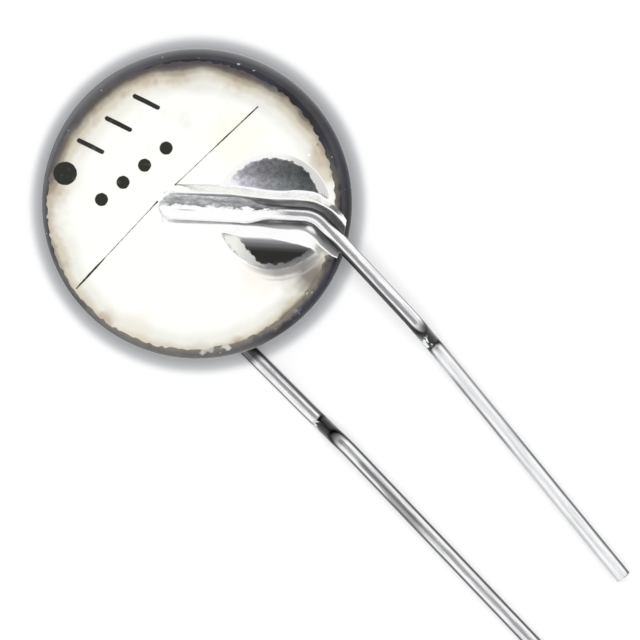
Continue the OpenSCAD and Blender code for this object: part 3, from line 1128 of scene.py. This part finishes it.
# %% The two half-moons of the pool
MOON_RAMP = [(0, (0.58, 0.57, 0.61)), (0.18, (0.36, 0.355, 0.39)), (0.42, (0.2, 0.2, 0.215)),
             (0.7, (0.115, 0.125, 0.125)), (0.9, (0.065, 0.07, 0.07)), (1, (0.06, 0.065, 0.065))]
LOWER_MOON_RAMP = [(0, (0.026, 0.025, 0.023)), (0.2, (0.06, 0.06, 0.058)), (0.5, (0.17, 0.17, 0.175)),
             (0.8, (0.34, 0.34, 0.35)), (1, (0.7, 0.7, 0.72))]
tree = new_material("solder_bright_and_dull", upper_solder, lower_solder)
place, level = attribute("wire_place", "Vector"), attribute("level")
flat = flattened(place)
along, across = parts_of(place)
above_wire = rise(across, -0.9, 0.9)
grains = fade(noise(flat, 6, 4, 0.7), 0.3, 0.7, 0.7, 1.3)
# the dark of the half-moons is partly a painted reflection of the dark lens above
moon = colour_ramp(along, 2.7, 5.9, MOON_RAMP)
moon = mix(1, moon, fade(across, 1.1, 1.55, 1.8, 1) * grains, "MULTIPLY")
lower_moon = colour_ramp(across, -1.5, -0.98, LOWER_MOON_RAMP)
moon = mix(above_wire, lower_moon, moon)
tell_nodes("half-moons")

# %% [markdown]
# In the grooves beside the wire the solder has drawn streaks and is painted dark there as shade,
# less so towards the tip of the wire and on its right side, so this part follows the wire's bent
# path. One short bright mark lies there.

# %% The grooves beside the wire, with painted shade
path_place = attribute("beside_wire", "Vector")
on_way, beside_way = parts_of(path_place)
off_wire = abs(beside_way)
groove_streaks_and_shade = fade(noise(scaled(path_place, (0.8, 6, 6)), 1, 4, 0.65), 0.35, 0.68, 0.16, 0.5)
groove_streaks_and_shade = groove_streaks_and_shade + fall(on_way, 0.5, 3.4, 0.45) + fall(beside_way, -0.68, -0.36) * 0.5
bright_mark = spot(scaled(path_place, (0.25, 1, 0)), (1.53, -0.47), 0.03, 0.08, 0.15)
groove_streaks_and_shade = mix(bright_mark, groove_streaks_and_shade, grey(0.93))
in_groove = fall(off_wire, 0.5, 0.78)
moon = mix(in_groove, moon, groove_streaks_and_shade)
tell_nodes("grooves")

# %% [markdown]
# The edge of the pool is ragged and comes in nearer at two of its four ends. Its raised lip is
# white above and on the left. At the lower right it is painted grey as the lip's shadow, and
# it isn't metallic there.

# %% The lip of the pool, and all of the solder together
LIP_FROM, LIP_TO = 3, 5.8
LIP_ABOVE = [(0, (0.93, 0.925, 0.9)), (0.55, (0.93, 0.925, 0.9)), (0.85, (0.66, 0.65, 0.62)),
             (1, (0.68, 0.67, 0.64))]
# the lower lip darkens to the right: painted shadow of the lip
LIP_BELOW = [(0, (0.86, 0.86, 0.81)), (0.1, (0.72, 0.72, 0.67)), (0.22, (0.62, 0.62, 0.58)),
             (0.34, (0.5, 0.5, 0.47)), (0.46, (0.22, 0.22, 0.225)), (0.75, (0.16, 0.16, 0.165)),
             (1, (0.15, 0.15, 0.155))]
from_pool = distance(flat, (POOL_S, POOL_T, 0)) + (noise(flat, 4.5, 3, 0.6) - 0.5) * 0.35
from_pool = from_pool + (rise(along, 5.4, 6.1, 0.17) * rise(across, 0, 0.5)
                         + fall(along, 3.2, 4.1, 0.35) * fall(across, -0.5, 0))
dull = rise(level, 0.9, 0.985) * largest(fall(from_pool, 2.02, 2.07), in_groove)
lip_above = colour_ramp(along, LIP_FROM, LIP_TO, LIP_ABOVE)
lip_below = colour_ramp(along, LIP_FROM, LIP_TO, LIP_BELOW, softly=False)
# the lip's outer slope at the lower right is painted grey: painted shadow of the lip
outer = rise(from_pool, 2.13, 2.24) * rise(along, 3.6, 4.5)
lip = mix(above_wire, mix(outer, lip_below, (0.25, 0.25, 0.24)), lip_above)
on_pool = rise(off_wire, 0.85, 1.05)
on_lip = on_pool * rise(from_pool, 1.95, 2)
on_lip = on_lip * (fall(from_pool, 2.45, 2.55) * rise(level, 0.84, 0.92))
colour = mix(dull, mix(on_lip, grey(0.99), lip), moon)
painted_lip_shade = outer * (on_pool * fall(across, -0.9, 0)) * fall(from_pool, 2.45, 2.55, 0.85)
colour = mix(painted_lip_shade, colour, (0.19, 0.19, 0.185))
rough = largest(dull, on_lip) * 0.25 + 0.16
plain = largest(dull * rise(off_wire, 0.6, 0.9, 0.5), painted_lip_shade)
plain = largest(plain, bright_mark * 0.8)
metal = 1 - largest(plain, on_lip * 0.9)
close_with_grain({"Base Color": colour, "Metallic": metal, "Roughness": rough},
                 place, 5, 0.000006)

# %% [markdown]
# ## Finish of the wires
# Tinned wire is bright where it faces up or down, and its flanks are painted dark, a painted
# reflection of a dark room. Fine streaks run along it from drawing, so the pattern follows the
# wire through its bends: every vertex carries its place on the straight wire. Places along it
# are millimetres from its tip, and `side` is the same side of the picture on both wires.

# %% Bright wire with its painted dark flanks
SHIFT_OF_LOWER, DRAWN = 40, (0.6, 3, 3)
tree = new_material("tinned_wire", upper_wire, lower_wire)
place, level = attribute("wire_place", "Vector"), attribute("level")
lower = attribute("which_wire")
upper = 1 - lower
along, across = parts_of(place)
side = across * (upper - lower)
apart = out("CombineXYZ", {0: lower * SHIFT_OF_LOWER})
shifted = out("VectorMath", {0: place, 1: apart}, operation="ADD")
stretched = scaled(shifted, DRAWN)
streaks = blotches(stretched, 1, 4, 0.42, 0.68)
colour = mix(streaks, (0.98, 0.98, 0.99), (0.74, 0.74, 0.76))
# the flanks are painted dark as a reflection, darker on the lower left of the upper wire until its
# kink
lean_upper = fade(along, 6.4, 7.4, 0.3, -0.3) + rise(along, 11.5, 13.5, 0.3)
lean = lean_upper * upper + lower * fall(along, 11.5, 13.5, 0.15)
flank = fall(level - side * lean, 0.62, 0.82)
tail = rise(along, 13.3, 14.3)
left_grey = 0.68 - rise(along, 14.5, 15.4) * fall(along, 17.6, 19.4) * 0.42
right_side = rise(side, -0.2, 0.2)
tail_grey = mix(right_side, left_grey, fade(along, 17.5, 19, 0.34, 0.17))
shade = mix(tail * upper, (0.07, 0.07, 0.075), tail_grey)
shade = mix(fade(side, -0.2, 0.2, 1, 0.4) * lower, shade, grey(0.14))
shade = mix(fall(along, 2.5, 5), shade, (0.5, 0.5, 0.51))
colour = mix(flank, colour, shade)
tell_nodes("bright wire")

# %% [markdown]
# Where a wire kinks down beside the disc it is painted dark, a painted reflection of the disc's
# dark wall, the lower wire more than the upper one, with bright specks on it. The lower wire is
# painted dark where it comes out from the disc, a painted shadow of the disc, and darker along
# one side of its tail.

# %% Kinks with their painted reflection, a painted shadow and a darker side
# the kinks are painted dark: painted reflection of the disc's wall
kink = rise(along, 11.5, 11.85) * fall(along, 13.35, 13.8)
kink_grey = upper * fade(side, -0.3, 0.5, 0.35, 0.12) + lower * 0.1
colour = mix(kink, colour, kink_grey, "MULTIPLY")
# bright specks on the kinks
speckled = upper * rise(along, 12.1, 12.4) + lower * fall(along, 12.05, 12.3)
speckled = speckled * fall(side, 0, 0.4)
bright_specks = rise(noise(shifted, 1.7, 3, 0.6), 0.5, 0.58) * speckled * kink
colour = mix(bright_specks, colour, (0.85, 0.85, 0.86))
# painted shadow of the disc on the lower wire where it comes out
painted_shadow_leaving = fall(along, 8.1, 8.5, 1.5) * lower
# darker along one side of the lower tail
left_of = side + rise(along, 15.5, 17, 0.35)
darker_side = rise(along, 14.4, 14.9) * fall(along, 17.4, 19.2)
darker_side = darker_side * (fall(side, 0, 0.2) * rise(left_of, -0.55, -0.3)) * lower
colour = mix(largest(painted_shadow_leaving, darker_side) * 0.55, colour, grey(0))
tell_nodes("kinks")

# %% [markdown]
# The blade was pressed and then tinned by the solder. It is painted a grainy grey on its upper
# side and white on its lower one, painted shade and painted light for how each half of the
# rolled blade meets the light, with a ragged border between them and a scratch at its tip.

# %% The blade, and all of the wire together
blade = fall(along, 4.3, 5.1)
mottle = noise(scaled(place, (1.6, 1.3, 1.3)), 2, 5, 0.7)
border = (mottle - 0.5) * 2.2 + 0.35
# upper side of the blade: grain with painted shade
above = rise(side - border, -0.15, 0.2) * blade
mottled = mix(rise(mottle, 0.35, 0.65), (0.42, 0.43, 0.44), (0.8, 0.8, 0.82))
mottled = mix(1, mottled, fade(along, 2.4, 4.2, 1.05, 0.42), "MULTIPLY")
colour = mix(above, colour, mottled)
below = blade - above
# lower side of the blade: painted light, white and less metallic
painted_light_lower = below * rise(level, 0.75, 0.9)
colour = mix(painted_light_lower, colour, (0.985, 0.985, 0.98))
scratch = spot(scaled(place, (0.2, 1, 0)), (0.2, -0.22), 0.03, 0.1, 0.2)
colour = mix(scratch * (below * 0.65), colour, grey(0.2))
patches = blotches(scaled(shifted, (0.3, 0.5, 0.5)), 1, 2, 0.35, 0.6)
rough = streaks * 0.12 + 0.16 + fall(along, 3.4, 4.6, 0.3)
rough = rough + patches * tail * (upper * 0.2 + 0.12) + tail * upper * 0.12
metal = 1 - painted_light_lower * 0.85 - tail * upper * 0.6
close_with_grain({"Base Color": colour, "Metallic": metal, "Roughness": rough},
                 stretched, 2, 0.00001)

# %% [markdown]
# ## Finish of the ink
# The ink is a matt green black, worn a little so that the silver shows through as a paler fleck.

# %% Ink
tree = new_material("stamped_ink", ink)
place = in_millimetres(MID_Z)
worn = blotches(place, 4, 4, 0.56, 0.75)
colour = mix(worn, (0.012, 0.013, 0.008), (0.07, 0.07, 0.055))
close_with_grain({"Base Color": colour, "Roughness": 0.6}, place, 8, 0.000006)

# %% Let colours render as they are written
bpy.context.scene.view_settings.view_transform = "Standard"
